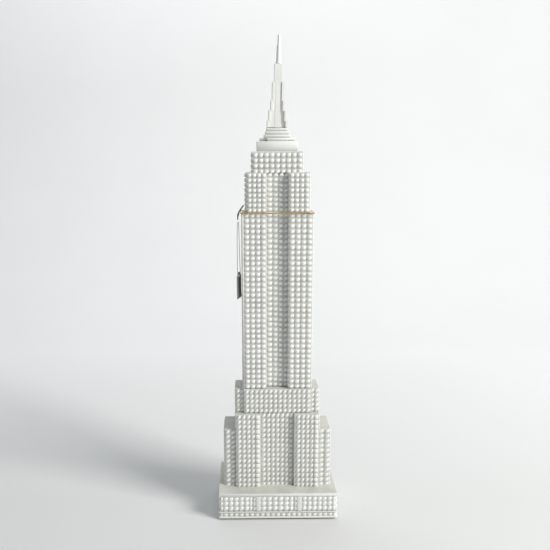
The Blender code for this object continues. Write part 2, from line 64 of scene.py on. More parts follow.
# Half the width and height of a stud's foot and its slant, as shares of its cell
SHAFT_STUD = (0.440, 0.365, 0.060)
PODIUM_STUD = (0.365, 0.415, 0.200)
PLINTH_STUD = (0.450, 0.485, 0.120)
CLOGGED_STUD = (0.490, 0.470, 0.0)  # where paint has filled the gaps
WIDEST_FOOT = 0.49  # limit of the first two shares
FURTHEST_SLANT = 0.47  # limit of a stud's reach sideways, as a share of its cell
STUD_RINGS = ((1.0, 0.0), (0.93, 0.42), (0.74, 0.74), (0.42, 0.95))  # share of the radius and of the height
STUD_SIDES = 12
FIRST_ANGLE = 225  # degrees; a stud's outline starts at the lower left, as the edge of its cell does
SQUARENESS = 2.1  # exponent of the superellipse of a stud's outline; 2 is a circle
# Random changes from stud to stud
DRIFT = 0.022  # of its place, as a share of its cell
SPREAD = 0.05  # of its width and height, as a share of them
MEAN_REACH, REACH_SPREAD = 0.93, 0.06  # of how far it stands out, as shares of its full reach

# Castings
CORNER = 0.0006  # radius of an upright corner
CORNER_STEPS = 2
RIM = 0.0005  # radius of a top edge
CREASE = 0.0010  # depth of the groove at the foot of a plain casting
CREASE_FULL, CREASE_END = 0.0004, 0.0007  # heights where the groove begins to close and where it ends
EMBED = 0.0010  # how far a casting reaches into the one that it is glued to
GAP = 0.0003  # between castings that only meet
WING_SETBACK = 0.0010  # how much further in the wings' fronts and backs stand
END_COLUMNS = 13  # of studs on the plinth's left and right sides
MAST_LEAN = math.radians(1.2)

# Camera
CAMERA_PLACE = (-0.0469, -0.9425, 0.5343)
CAMERA_PITCH = math.radians(10.33)
CAMERA_ROLL = math.radians(-0.4)
CAMERA_SHIFT = 0.0547
FOCAL_MM, SENSOR_MM = 42.5, 36.0


def make_camera():
    camera = bpy.data.objects.new("camera", bpy.data.cameras.new("camera"))
    bpy.context.scene.collection.objects.link(camera)
    camera.location = CAMERA_PLACE
    tilt = Matrix.Rotation(math.pi / 2 - CAMERA_PITCH, 3, "X")
    camera.rotation_euler = (tilt @ Matrix.Rotation(CAMERA_ROLL, 3, "Z")).to_euler()
    camera.data.lens = FOCAL_MM
    camera.data.sensor_width = SENSOR_MM
    camera.data.shift_x = CAMERA_SHIFT
    camera.data.clip_start = 0.01
    bpy.context.scene.camera = camera


# Materials


class Nodes:
    """Short calls for a material's node tree."""

    def __init__(self, name):
        self.material = bpy.data.materials.new(name)
        self.material.use_nodes = True
        self.tree = self.material.node_tree
        self.shader = self.tree.nodes["Principled BSDF"]
        self.place = self.add("ShaderNodeTexCoord").outputs["Object"]

    def add(self, kind, inputs=None, **settings):
        node = self.tree.nodes.new(kind)
        for key, value in settings.items():
            setattr(node, key, value)
        for key, value in (inputs or {}).items():
            self.join(node.inputs[key], value)
        return node

    def join(self, socket, value):
        if isinstance(value, bpy.types.NodeSocket):
            self.tree.links.new(value, socket)
        else:
            socket.default_value = value

    def noise(self, scale, detail=3.0, roughness=0.5):
        inputs = {"Vector": self.place, "Scale": scale, "Detail": detail, "Roughness": roughness}
        return self.add("ShaderNodeTexNoise", inputs).outputs["Fac"]

    def ramp(self, value, low, high, bottom=0.0, top=1.0):
        inputs = {"Value": value, "From Min": low, "From Max": high, "To Min": bottom, "To Max": top}
        return self.add("ShaderNodeMapRange", inputs).outputs["Result"]

    def maths(self, operation, a, b):
        return self.add("ShaderNodeMath", {0: a, 1: b}, operation=operation).outputs["Value"]

    def mix(self, share, a, b):
        node = self.add("ShaderNodeMix", data_type="RGBA")
        self.join(node.inputs["Factor"], share)
        for key, colour in (("A", a), ("B", b)):
            socket = next(s for s in node.inputs if s.name == key and s.type == "RGBA")
            self.join(socket, (*colour, 1.0) if isinstance(colour, tuple) else colour)
        return next(s for s in node.outputs if s.type == "RGBA")

    def attribute(self, name):
        return self.add("ShaderNodeAttribute", attribute_name=name).outputs["Fac"]

    def bump(self, height, distance, strength=1.0, normal=None):
        inputs = {"Height": height, "Distance": distance, "Strength": strength}
        if normal:
            inputs["Normal"] = normal
        return self.add("ShaderNodeBump", inputs).outputs["Normal"]

    def finish(self, colour, roughness, normal=None, **plain):
        self.join(self.shader.inputs["Base Color"], colour)
        self.join(self.shader.inputs["Roughness"], roughness)
        if normal:
            self.join(self.shader.inputs["Normal"], normal)
        for key, value in plain.items():
            self.shader.inputs[key.replace("_", " ")].default_value = value
        return self.material


def painted_resin(name, dust_and_shade=0.0):
    """Matt white paint over cast resin: a fine orange-peel skin, faint stains, and dust and painted shade on
    its ledges.

    dust_and_shade is how much dust and painted shade lie between the studs; with it comes a painted highlight
    on the studs' tips. It needs a "rise" from 0 at a wall to 1 at a stud's tip.
    """
    n = Nodes(name)
    blotches = n.ramp(n.noise(22.0, 4.0, 0.6), 0.35, 0.7)
    colour = n.mix(blotches, (0.78, 0.785, 0.755), (0.84, 0.845, 0.82))
    specks = n.ramp(n.noise(900.0, 2.0), 0.62, 0.74)
    colour = n.mix(n.maths("MULTIPLY", specks, 0.12), colour, (0.50, 0.48, 0.42))
    if dust_and_shade:
        # Dust and painted shade: the low ground between the studs is darkened
        low = n.ramp(n.attribute("rise"), 0.0, 0.6, 1.0, 0.0)
        patchy_dust_and_shade = n.ramp(n.noise(60.0, 3.0), 0.3, 0.7, 0.7 * dust_and_shade, 1.3 * dust_and_shade)
        colour = n.mix(n.maths("MULTIPLY", low, patchy_dust_and_shade), colour, (0.44, 0.435, 0.395))
        # Painted highlight: the studs' tips are whitened
        tip_highlight = n.ramp(n.attribute("rise"), 0.86, 1.0)
        colour = n.mix(n.maths("MULTIPLY", tip_highlight, 0.25), colour, (0.90, 0.905, 0.885))
    # Dust and painted shade: faces that look upward are darkened, in patches
    facing = n.add("ShaderNodeNewGeometry").outputs["Normal"]
    upward = n.add("ShaderNodeSeparateXYZ", {"Vector": facing}).outputs["Z"]
    ledge_patchiness = n.ramp(n.noise(35.0, 4.0, 0.6), 0.25, 0.75, 0.55, 0.95)
    ledge = n.maths("MULTIPLY", n.ramp(upward, 0.75, 0.98), ledge_patchiness)
    colour = n.mix(ledge, colour, (0.45, 0.45, 0.405))
    skin = n.bump(n.noise(1400.0, 3.0), 0.00010, 0.5)
    normal = n.bump(n.noise(260.0, 2.0), 0.00025, 0.5, skin)
    roughness = n.ramp(n.noise(80.0, 2.0), 0.3, 0.7, 0.48, 0.64)
    return n.finish(colour, roughness, normal, Specular_IOR_Level=0.4)


def tan_rubber():
    n = Nodes("tan rubber")
    tone = n.ramp(n.noise(120.0, 3.0), 0.35, 0.65)
    colour = n.mix(tone, (0.30, 0.175, 0.040), (0.50, 0.335, 0.095))
    normal = n.bump(n.noise(2500.0, 2.0), 0.00004, 0.6)
    return n.finish(colour, n.ramp(tone, 0.0, 1.0, 0.42, 0.6), normal, Subsurface_Weight=0.06)


def shaded_rubber():
    n = Nodes("knotted rubber with painted shade")
    tone = n.ramp(n.noise(260.0, 3.0), 0.35, 0.65)
    # Painted shade: the band's knotted tail, tan rubber like the loop, is painted nearly black
    colour = n.mix(tone, (0.040, 0.042, 0.032), (0.095, 0.090, 0.065))
    return n.finish(colour, 0.62, n.bump(n.noise(2200.0, 2.0), 0.00005, 0.7))


def cotton():
    n = Nodes("cotton string")
    fuzz = n.noise(3000.0, 3.0, 0.7)
    colour = n.mix(n.ramp(fuzz, 0.3, 0.7), (0.52, 0.50, 0.44), (0.74, 0.72, 0.66))
    return n.finish(colour, 0.9, n.bump(fuzz, 0.00006, 0.8), Sheen_Weight=0.25)


def ticket_card():
    n = Nodes("ticket card")
    fibres = n.noise(900.0, 4.0, 0.65)
    colour = n.mix(n.ramp(fibres, 0.3, 0.7), (0.34, 0.37, 0.33), (0.42, 0.45, 0.40))
    place = n.add("ShaderNodeTexCoord").outputs["Object"]
    depth = n.add("ShaderNodeSeparateXYZ", {"Vector": place}).outputs["Y"]
    # Painted shade: the card darkens towards its front edge, at -Y
    colour = n.mix(n.ramp(depth, -0.024, -0.008, 0.9, 0.0), colour, (0.115, 0.125, 0.115))
    stains = n.ramp(n.noise(110.0, 3.0), 0.5, 0.75)
    colour = n.mix(n.maths("MULTIPLY", stains, 0.35), colour, (0.13, 0.14, 0.12))
    return n.finish(colour, 0.85, n.bump(fibres, 0.00004, 0.5))


def felt():
    n = Nodes("grey felt")
    fibres = n.noise(1800.0, 5.0, 0.75)
    colour = n.mix(fibres, (0.05, 0.05, 0.05), (0.17, 0.17, 0.16))
    return n.finish(colour, 0.95, n.bump(fibres, 0.0002, 0.8), Sheen_Weight=0.4)


def fibreboard():
    n = Nodes("fibreboard")
    flakes = n.noise(500.0, 5.0, 0.7)
    colour = n.mix(flakes, (0.27, 0.17, 0.09), (0.47, 0.33, 0.20))
    return n.finish(colour, 0.8, n.bump(flakes, 0.0001, 0.5))


def zinc_steel():
    n = Nodes("zinc-plated steel")
    spangle = n.add("ShaderNodeTexVoronoi", {"Vector": n.place, "Scale": 700.0}).outputs["Color"]
    tone = n.add("ShaderNodeSeparateColor", {"Color": spangle}).outputs["Red"]
    colour = n.mix(tone, (0.52, 0.53, 0.54), (0.70, 0.70, 0.68))
    return n.finish(colour, n.ramp(tone, 0.0, 1.0, 0.28, 0.42), None, Metallic=1.0)


def studio_paper():
    n = Nodes("studio paper")
    colour = n.mix(n.noise(3.0, 2.0), (0.78, 0.785, 0.79), (0.82, 0.825, 0.83))
    place = n.add("ShaderNodeNewGeometry").outputs["Position"]
    depth = n.add("ShaderNodeSeparateXYZ", {"Vector": place}).outputs["Y"]
    # Painted shade: the sheet darkens from the backdrop towards the front of the floor
    colour = n.mix(n.ramp(depth, 0.0, 0.8, 1.0, 0.0), colour, (0.64, 0.645, 0.645))
    return n.finish(colour, 0.9, n.bump(n.noise(400.0, 2.0), 0.0001, 0.2))


# Meshes


def right_turn(a, b, c):
    return (b[0] - a[0]) * (c[1] - b[1]) - (b[1] - a[1]) * (c[0] - b[0]) < 0


class Outline:
    """A right-angled outline, anticlockwise, with studded cells along some of its sides.

    layouts holds, for each side from its corner on, a list of stretches (width, cells). One width may be None
    and takes what is left over. A stretch with no cells is plain. A side with no layout is one plain stretch.
    """

    def __init__(self, corners, layouts=None, radius=CORNER):
        self.corners = [Vector(c) for c in corners]
        count = len(corners)
        self.concave = []
        for i in range(count):
            self.concave.append(right_turn(corners[i - 1], corners[i], corners[(i + 1) % count]))
        self.radius = [0.0 if turn else radius for turn in self.concave]
        self.along = [(self.corners[(i + 1) % count] - self.corners[i]).normalized() for i in range(count)]
        self.out = [Vector((t.y, -t.x)) for t in self.along]
        self.length = [(self.corners[(i + 1) % count] - self.corners[i]).length for i in range(count)]
        self.points = []
        self.spans = []
        for side in range(count):
            self.add_corner(side)
            self.add_side(side, (layouts or {}).get(side))

    def add_corner(self, side):
        if not self.concave[side]:
            for step in range(CORNER_STEPS):
                self.points.append(("corner", side, step / CORNER_STEPS))
                self.spans.append(None)

    def add_side(self, side, layout):
        start = self.radius[side]
        stop = self.length[side] - self.radius[(side + 1) % len(self.corners)]
        layout = layout or [(None, 0)]
        spare = stop - start - sum(width for width, _ in layout if width)
        place = start
        for number, (width, cells) in enumerate(layout):
            width = width or spare
            steps = 3 * cells or 1
            for step in range(steps):
                self.points.append(("side", side, place + width * step / steps))
                self.spans.append((side, number, step // 3) if cells else None)
            place += width

    def place(self, number, offset):
        kind, side, value = self.points[number % len(self.points)]
        corner, out, along = self.corners[side], self.out[side], self.along[side]
        if kind == "corner":
            before = self.out[side - 1]
            inset = max(self.radius[side], -offset)
            radius = max(self.radius[side] + offset, 0.0)
            angle = value * math.pi / 2
            turned = before * math.cos(angle) + out * math.sin(angle)
            return corner - (before + out) * inset + turned * radius
        following = (side + 1) % len(self.corners)
        low = offset if self.concave[side] else max(self.radius[side], -offset)
        high = offset if self.concave[following] else max(self.radius[following], -offset)
        if self.concave[side] and value <= 0.0:
            value = low
        value = min(max(value, low), self.length[side] - high)
        return corner + along * value + out * offset


class Casting:
    """A closed mesh that rises through levels of an outline, with domed studs in its cells."""

    def __init__(self, name, seed=0, shape=SHAFT_STUD, clogged=(), low_sides=()):
        self.name = name
        self.shape = shape
        self.low_sides = set(low_sides)
        self.clogged = set(clogged)
        self.random = np.random.default_rng(seed)
        self.points = []
        self.rise = []
        self.faces = []
        self.flat = []

    def point(self, xyz, rise=0.0):
        self.points.append(tuple(xyz))
        self.rise.append(rise)
        return len(self.points) - 1

    def rows(self, outline, start, steps, flip=(1, 1)):
        """Raises the outline from start, a (height, offset), through the steps.

        A step is (height, offset) for a plain stretch, or (height, rows, sides) for rows of studs, which fill
        the cells of the sides named, or of every side if sides is None.
        """
        levels = [start]
        bands = []
        for step in steps:
            if len(step) == 2:
                levels.append(step)
                bands.append(None)
                continue
            top, count, sides = step
            low, offset = levels[-1]
            for row in range(count):
                for third in range(3):
                    height = low + (top - low) * (row + (third + 1) / 3) / count
                    levels.append((height, offset))
                    bands.append((row, third, sides))
        total = len(outline.points)
        made = {}

        def grid(level, number):
            number %= total
            if (level, number) not in made:
                height, offset = levels[level]
                x, y = outline.place(number, offset)
                made[level, number] = self.point((x * flip[0], y * flip[1], height))
            return made[level, number]

        mirrored = flip[0] * flip[1] < 0

        def face(*corners, flat=False):
            self.faces.append(corners[::-1] if mirrored else corners)
            self.flat.append(flat)

        def studded(level, number):
            span, band = outline.spans[number], bands[level]
            return span is not None and band is not None and (band[2] is None or span[0] in band[2])

        for level in range(len(bands)):
            for number in range(total):
                if not studded(level, number):
                    face(
                        grid(level, number),
                        grid(level, number + 1),
                        grid(level + 1, number + 1),
                        grid(level + 1, number),
                    )
                    continue
                first = number == 0 or outline.spans[number - 1] != outline.spans[number]
                if first and bands[level][1] == 0:
                    self.stud(outline, levels, level, number, grid, face, flip)
        face(*[grid(0, number) for number in reversed(range(total))], flat=True)
        face(*[grid(len(bands), number) for number in range(total)], flat=True)

    def stud(self, outline, levels, level, number, grid, face, flip):
        """A dome on a cell of 3 by 3 steps, whose lower left corner is at that level and point."""
        around = [grid(level, number + k) for k in range(4)]
        around += [grid(level + k, number + 3) for k in (1, 2, 3)]
        around += [grid(level + 3, number + k) for k in (2, 1, 0)]
        around += [grid(level + k, number) for k in (2, 1)]
        low, offset = levels[level]
        high = levels[level + 3][0]
        left, right = (outline.place(number + k, offset) for k in (0, 3))
        side, _, column = outline.spans[number]
        out, along = outline.out[side], outline.along[side]
        width, height = (right - left).length, high - low
        draw = self.random.uniform(-1.0, 1.0, 5)
        centre = (left + right) / 2 + along * (DRIFT * width * draw[0])
        middle = (low + high) / 2 + DRIFT * height * draw[1]
        full = (side, column) in self.clogged
        wide_share, high_share, slant = CLOGGED_STUD if full else self.shape
        reach_x = min(wide_share * (1 + SPREAD * draw[2]), WIDEST_FOOT) * width
        reach_z = min(high_share * (1 + SPREAD * draw[3]), WIDEST_FOOT) * height
        shift = slant * width * flip[0] * flip[1]
        square = 2 * SQUARENESS if full else SQUARENESS
        reach = LOW_STUD if side in self.low_sides else STUD
        tall = reach * min(1.0, min(width, height) / FULL_CELL) * (MEAN_REACH + REACH_SPREAD * draw[4])
        furthest = FURTHEST_SLANT * width
        ring = around
        for share, rise in STUD_RINGS:
            following = []
            for k in range(STUD_SIDES):
                angle = math.radians(FIRST_ANGLE + 360 / STUD_SIDES * k)
                c, s = math.cos(angle), math.sin(angle)
                wide = share * (abs(c) ** square + abs(s) ** square) ** (-1 / square)
                sideways = min(max(reach_x * wide * c + shift * wide * s, -furthest), furthest)
                x, y = centre + along * sideways + out * (tall * rise)
                following.append(self.point((x * flip[0], y * flip[1], middle + reach_z * wide * s), rise))
            for k in range(STUD_SIDES):
                after = (k + 1) % STUD_SIDES
                face(ring[k], ring[after], following[after], following[k])
            ring = following
        x, y = centre + out * tall
        tip = self.point((x * flip[0], y * flip[1], middle), 1.0)
        for k in range(STUD_SIDES):
            face(ring[k], ring[(k + 1) % STUD_SIDES], tip)

    def finish(self, material, slot, nodes, merge=False):
        mesh = bpy.data.meshes.new(self.name)
        mesh.from_pydata(self.points, [], self.faces)
        mesh.polygons.foreach_set("use_smooth", [not flat for flat in self.flat])
        mesh.attributes.new("rise", "FLOAT", "POINT").data.foreach_set("value", self.rise)
        if merge:
            bm = bmesh.new()
            bm.from_mesh(mesh)
            bmesh.ops.remove_doubles(bm, verts=bm.verts, dist=1e-6)
            bmesh.ops.dissolve_degenerate(bm, edges=bm.edges, dist=1e-7)
            bm.to_mesh(mesh)
            bm.free()
        mesh.materials.append(material)
        mesh.validate()
        piece = bpy.data.objects.new(self.name, mesh)
        bpy.context.scene.collection.objects.link(piece)
        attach(piece, "tower")
        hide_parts(*nodes)


def rim(top, radius=RIM):
    """The last steps of a casting: a rounded edge and then its flat top."""
    middle = 0.29 * radius  # 1 - cos(45 degrees)
    return [(top - radius, 0.0), (top - middle, -middle), (top, -radius)]


def crease(low):
    """The first steps of a plain casting: a thin groove at its foot."""
    return [(low + CREASE_FULL, -CREASE), (low + CREASE_END, 0.0)]


def oblong(x_low, y_low, x_high, y_high):
    return [(x_low, y_low), (x_high, y_low), (x_high, y_high), (x_low, y_high)]


def studded_block(name, corners, layouts, z_low, z_high, rows, seed, flip=(1, 1), low_sides=()):
    """A casting with the same rows of studs from its foot to its rim."""
    casting = Casting(name, seed, PODIUM_STUD, low_sides=low_sides)
    outline = Outline(corners, layouts)
    steps = [(z_high - RIM, rows, None), *rim(z_high)[1:]]
    casting.rows(outline, (z_low, 0.0), steps, flip)
    casting.finish(STUDDED, "white_resin", [name])


def studded_wing(name, fx, hidden, columns, z_low, z_high, rows, seed):
    """A wing with studs on three sides. Its inner end runs into its neighbour by the hidden width."""
    low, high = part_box(name)
    inner = min(abs(low.x), abs(high.x)) - hidden
    outer = max(abs(low.x), abs(high.x)) - LOW_STUD
    wall = high.y - STUD - WING_SETBACK
    layouts = {0: [(hidden, 0), (None, 2)], 1: [(None, columns)], 2: [(None, 2), (hidden, 0)]}
    studded_block(name, oblong(inner, -wall, outer, wall), layouts, z_low, z_high, rows, seed, (fx, 1), {1})


STUDDED = painted_resin("studded paint", 0.48)
# For the plinth's castings: less dust and painted shade between the studs
STUDDED_LESS_DUST_AND_SHADE = painted_resin("studded paint with less dust and painted shade", 0.10)
PLAIN = painted_resin("plain paint")


# Plinth


def make_plinth():
    """A foot course with a bead, walls behind the facing panels, and a top slab with a thin lip."""
    wall_low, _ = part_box("plinth_wall_front")
    panel_low, panel_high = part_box("plinth_panel_front_middle")
    _, board_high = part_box("base_board")
    top_low, top_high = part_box("plinth_top")
    x, y = top_high.x, top_high.y
    bead = panel_low.z - GAP
    behind = -(panel_high.y + y) - GAP
    end_cell, corner, edge, lip_setback = 0.0043, 0.0028, 0.0006, 0.0010
    front = [(end_cell, 1), (None, 21), (end_cell, 1)]
    end = [(None, END_COLUMNS)]
    outline = Outline(oblong(-x, -y, x, y), {0: front, 1: end, 2: front, 3: end}, corner)
    course = Casting("plinth_course", 1, PLINTH_STUD)
    steps = [
        (wall_low.z, behind),
        (wall_low.z, -edge),
        (wall_low.z + edge, 0.0),
        (wall_low.z + 0.0023, 0.0),
        (wall_low.z + 0.0028, -0.0005),
        (wall_low.z + 0.0030, -STUD),
        (bead - 0.0018, 1, None),
        (bead - 0.0016, -edge),
        (bead - 0.0012, 0.0),
        (bead - 0.0004, 0.0),
        (bead, -edge),
        (bead, behind),
        (top_low.z - GAP, behind),
    ]
    course.rows(outline, (board_high.z + GAP, behind), steps)
    walls = [f"plinth_wall_{side}" for side in ("front", "back", "left", "right")]
    course.finish(STUDDED_LESS_DUST_AND_SHADE, "white_resin", walls, merge=True)
    lip = Casting("plinth_lip", 2)
    foot, chamfer = panel_high.z + GAP, 0.0003
    steps = [(foot, behind), (foot, -chamfer), (foot + chamfer, 0.0), *rim(top_high.z, 0.0004)]
    x, y = x - lip_setback, y - lip_setback
    lip.rows(Outline(oblong(-x, -y, x, y), radius=0.0008), (top_low.z, behind), steps)
    lip.finish(PLAIN, "white_resin", ["plinth_top"], merge=True)


def make_panels():
    """Studded panels with three rows. The middle and right ones begin with a narrow column and a pilaster."""
    rows = 3
    pilaster_start, pilaster_end, raised = 0.0048, 0.0115, 0.0017
    first, margin, chamfer = 0.0042, 0.0004, 0.0003
    seed = 10
    for face, turn in (("front", 1), ("back", -1)):
        for part, cells, last in (("left", 7, 0.0044), ("middle", 6, 0.0062), ("right", 7, 0.0056)):
            name = f"plinth_panel_{face}_{part}"
            low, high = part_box(name)
            start, stop = sorted((turn * low.x, turn * high.x))
            back = -min(abs(low.y), abs(high.y))
            wall = -max(abs(low.y), abs(high.y)) + STUD
            start += STUD if part == "left" else 0.0
            stop -= STUD if part == "right" else 0.0
            if part == "left":
                corners = oblong(start, wall, stop, back)
                layouts = {0: [(first, 1), (None, cells - 2), (last, 1), (margin, 0)]}
            else:
                inner, outer = start + pilaster_start, start + pilaster_end
                corners = [(start, wall), (inner, wall), (inner, wall - raised)]
                corners += [(outer, wall - raised), (outer, wall), (stop, wall), (stop, back), (start, back)]
                layouts = {0: [(None, 1)], 4: [(None, cells - 1), (last, 1), (margin, 0)]}
            casting = Casting(name, seed, PLINTH_STUD)
            outline = Outline(corners, layouts, margin)
            steps = [(high.z - chamfer, rows, {0, 4}), (high.z, -chamfer)]
            casting.rows(outline, (low.z, 0.0), steps, (turn, turn))
            casting.finish(STUDDED_LESS_DUST_AND_SHADE, "white_resin", [name])
            seed += 1
    for side, fx in SIDES:
        name = f"plinth_panel_{side}"
        low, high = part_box(name)
        inner, outer = min(abs(low.x), abs(high.x)), max(abs(low.x), abs(high.x)) - STUD
        casting = Casting(name, seed, PLINTH_STUD)
        outline = Outline(oblong(inner, low.y, outer, high.y), {1: [(None, END_COLUMNS)]}, margin)
        casting.rows(outline, (low.z, 0.0), [(high.z - chamfer, rows, {1}), (high.z, -chamfer)], (fx, 1))
        casting.finish(STUDDED_LESS_DUST_AND_SHADE, "white_resin", [name])
        seed += 1


# Podium and belt


def make_podium():
    """Corner blocks with a skirt at the foot and one clogged column each, facings, and wings."""
    rows, covered_rows = 15, 12
    skirt, skirt_edge, skirt_top, chamfer = 0.0013, 0.0010, 0.0011, 0.0003
    core_low, core_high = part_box("podium_core")
    _, corner_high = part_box("podium_corner_front_left")
    low_z, top = core_low.z - EMBED, corner_high.z
    seed = 30
    for face, fy in FACES:
        for side, fx in SIDES:
            name = f"podium_corner_{face}_{side}"
            low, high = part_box(name)
            inner = min(abs(low.x), abs(high.x))
            outer = max(abs(low.x), abs(high.x)) - LOW_STUD
            wall = max(abs(low.y), abs(high.y)) - STUD
            core_x, core_y = core_high.x - EMBED, core_high.y - EMBED
            corners = [(inner, -wall), (outer, -wall), (outer, 0.0)]
            corners += [(core_x, 0.0), (core_x, -core_y), (inner, -core_y)]
            edges, full = ((0.0006, 0.0007), 0) if fx * fy > 0 else ((0.0020, 0.0006), 4)
            layouts = {0: [(edges[0], 0), (None, 5), (edges[1], 0)], 1: [(0.0006, 0), (None, 4)]}
            casting = Casting(name, seed, PODIUM_STUD, [(0, full)], {1})
            foot = core_low.z + skirt_top
            row = (top - RIM - foot) / rows
            steps = [(foot - chamfer, skirt), (foot, skirt_edge), (foot, 0.0)]
            steps += [(foot + covered_rows * row, covered_rows, {0}), (top - RIM, rows - covered_rows, None)]
            casting.rows(Outline(corners, layouts), (low_z, skirt), [*steps, *rim(top)[1:]], (fx, -fy))
            casting.finish(STUDDED, "white_resin", [name])
            seed += 1
        name = f"podium_facing_{face}"
        low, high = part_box(name)
        half = high.x + GAP + EMBED
        wall = max(abs(low.y), abs(high.y)) - STUD
        corners = oblong(-half, -wall, half, -core_high.y + EMBED)
        layouts = {0: [(GAP + EMBED, 0), (None, 7), (GAP + EMBED, 0)]}
        studded_block(name, corners, layouts, low_z, top, rows, seed, (-fy, -fy))
        seed += 1
    for side, fx in SIDES:
        name = f"podium_wing_{side}"
        _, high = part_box(name)
        studded_wing(name, fx, STUD + GAP + EMBED, 7, low_z, high.z, covered_rows, seed)
        seed += 1


def make_belt():
    rows, margin = 5, 0.0005
    low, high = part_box("belt_block")
    flank_low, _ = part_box("shaft_flank_left")
    low_z, top = low.z - EMBED, flank_low.z - GAP
    wall = high.y - STUD
    row = [(margin, 0), (None, 14), (margin, 0)]
    studded_block("belt_block", oblong(low.x, -wall, high.x, wall), {0: row, 2: row}, low_z, top, rows, 50)
    for number, (side, fx) in enumerate(SIDES):
        studded_wing(f"belt_wing_{side}", fx, GAP + EMBED, 6, low_z, top, rows, 51 + number)


# Shaft


def make_flank(name, fx, rows, seed, strip=0.0):
    """A C-shaped casting round one end of the core.

    A strip is the width of a plain raised margin at the front's outer corner.
    """
    low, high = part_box(name)
    _, core_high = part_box("tower_core")
    inner = min(abs(low.x), abs(high.x))
    outer = max(abs(low.x), abs(high.x)) - (LOW_STUD if fx > 0 else STUD)
    wall = high.y - STUD
    x, y = core_high.x - EMBED, core_high.y - STUD - EMBED
    edge = max(strip - STUD, 0.0006)
    inner_margin, back_margin = 0.0004, 0.0005
    corners = [(inner, -wall), (outer, -wall), (outer, wall), (inner, wall)]
    corners += [(inner, y), (x, y), (x, -y), (inner, -y)]
    layouts = {
        0: [(inner_margin, 0), (None, 4), (edge, 0)],
        1: [(edge, 0), (None, 5), (back_margin, 0)],
        2: [(back_margin, 0), (None, 4)],
    }
    casting = Casting(name, seed, low_sides={1} if fx > 0 else ())
    low_z = low.z - EMBED
    steps = [(high.z - RIM, rows, {0, 1, 2}), *rim(high.z)[1:]]
    casting.rows(Outline(corners, layouts), (low_z, 0.0), steps, (fx, 1))
    if strip:
        behind_tips = 0.0004
        tip_x, tip_y = outer + STUD - behind_tips, wall + STUD - behind_tips
        corners = oblong(tip_x - strip, -tip_y, tip_x, strip - tip_y)
        casting.rows(Outline(corners, radius=0.0010), (low_z, 0.0), rim(high.z, 0.0007), (fx, 1))
    casting.finish(STUDDED, "white_resin", [name])


def make_shaft():
    shaft_rows, shoulder_rows, tier_rows = 34, 8, 4
    make_flank("shaft_flank_left", -1, shaft_rows, 60, strip=0.0032)
    make_flank("shaft_flank_right", 1, shaft_rows, 61)
    make_flank("shoulder_flank_left", -1, shoulder_rows, 62)
    make_flank("shoulder_flank_right", 1, shoulder_rows, 63)
    low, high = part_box("tower_core")
    flank_low, flank_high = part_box("shaft_flank_right")
    _, shoulder_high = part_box("shoulder_flank_right")
    core = Casting("tower_core", 64, low_sides={1, 3})
    wall = high.y - STUD
    hidden = high.x - EMBED - flank_low.x
    recess_columns = 0.0323
    row = [(hidden, 0), (recess_columns, 4), (None, 0)]
    layouts = {0: row, 2: row}
    outline = Outline(oblong(EMBED - high.x, -wall, high.x - EMBED, wall), layouts)
    steps = [(flank_high.z, shaft_rows, None), (shoulder_high.z, shoulder_rows, None)]
    core.rows(outline, (low.z - EMBED, 0.0), steps)
    deck_low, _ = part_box("deck_block")
    tier_x, tier_top = high.x - LOW_STUD, deck_low.z - GAP
    layouts = {side: [(0.0004, 0), (None, cells), (0.0004, 0)] for side, cells in enumerate((9, 3, 9, 3))}
    outline = Outline(oblong(-tier_x, -wall, tier_x, wall), layouts)
    steps = [(tier_top - 0.0016, tier_rows, None), *rim(tier_top)]
    core.rows(outline, (shoulder_high.z - 3 * EMBED, 0.0), steps)
    core.finish(STUDDED, "white_resin", ["tower_core"])


# Crown and mast


def make_crown():
    seed = 70
    for name in ("deck_block", "crown_slab_2", "crown_slab_3", "crown_slab_4"):
        low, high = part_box(name)
        casting = Casting(name, seed)
        outline = Outline(oblong(low.x, low.y, high.x, high.y), radius=0.0009)
        casting.rows(outline, (low.z - EMBED / 2, -CREASE), [*crease(low.z), *rim(high.z, 0.0007)])
        casting.finish(PLAIN, "white_resin", [name])
        seed += 1
    low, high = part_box("crown_slab_1")
    step_x, step_y = 0.0145, 0.0095
    corners = [(low.x, -step_y), (-step_x, -step_y), (-step_x, low.y)]
    corners += [(step_x, low.y), (step_x, -step_y), (high.x, -step_y)]
    corners += [(-x, -y) for x, y in corners]
    casting = Casting("crown_slab_1", seed)
    outline = Outline(corners, radius=0.0007)
    casting.rows(outline, (low.z - EMBED / 2, -CREASE), [*crease(low.z), *rim(high.z, 0.0006)])
    casting.finish(PLAIN, "white_resin", ["crown_slab_1"])


def make_mast_web():
    """Filler and paint that level the groove between the mast's front left fin and its rib."""
    low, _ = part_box("mast_core")
    foot = low.z + 0.0006
    right, back, depth = -0.0010, -0.0046, 0.0029
    tops, edges = (0.5840, 0.5980, 0.6115, 0.6360), (-0.0116, -0.0097, -0.0070, -0.0052)
    outline = [(right, foot)]
    for start, top, edge in zip((foot, *tops), tops, edges):
        outline += [(edge, start), (edge, top)]
    outline.append((right, tops[-1]))
    foot_place = Vector((0, 0, foot))
    lean = Matrix.Rotation(MAST_LEAN, 3, "Y")
    points = []
    for y in (back, back - depth):
        points += [foot_place + lean @ (Vector((x, y, z)) - foot_place) for x, z in outline]
    count = len(outline)
    faces = [tuple(range(count)), tuple(reversed(range(count, 2 * count)))]
    for k in range(count):
        after = (k + 1) % count
        faces.append((after, k, count + k, count + after))
    mesh = bpy.data.meshes.new("mast_web")
    mesh.from_pydata(points, [], faces)
    mesh.materials.append(PLAIN)
    web = bpy.data.objects.new("mast_web", mesh)
    bpy.context.scene.collection.objects.link(web)
    soften(web)
    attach(web, "tower")


def soften(piece):
    bevel = piece.modifiers.new("soft edges", "BEVEL")
    bevel.width = 0.0005
    bevel.segments = 2
    bevel.limit_method = "ANGLE"


# Rubber band, string and ticket

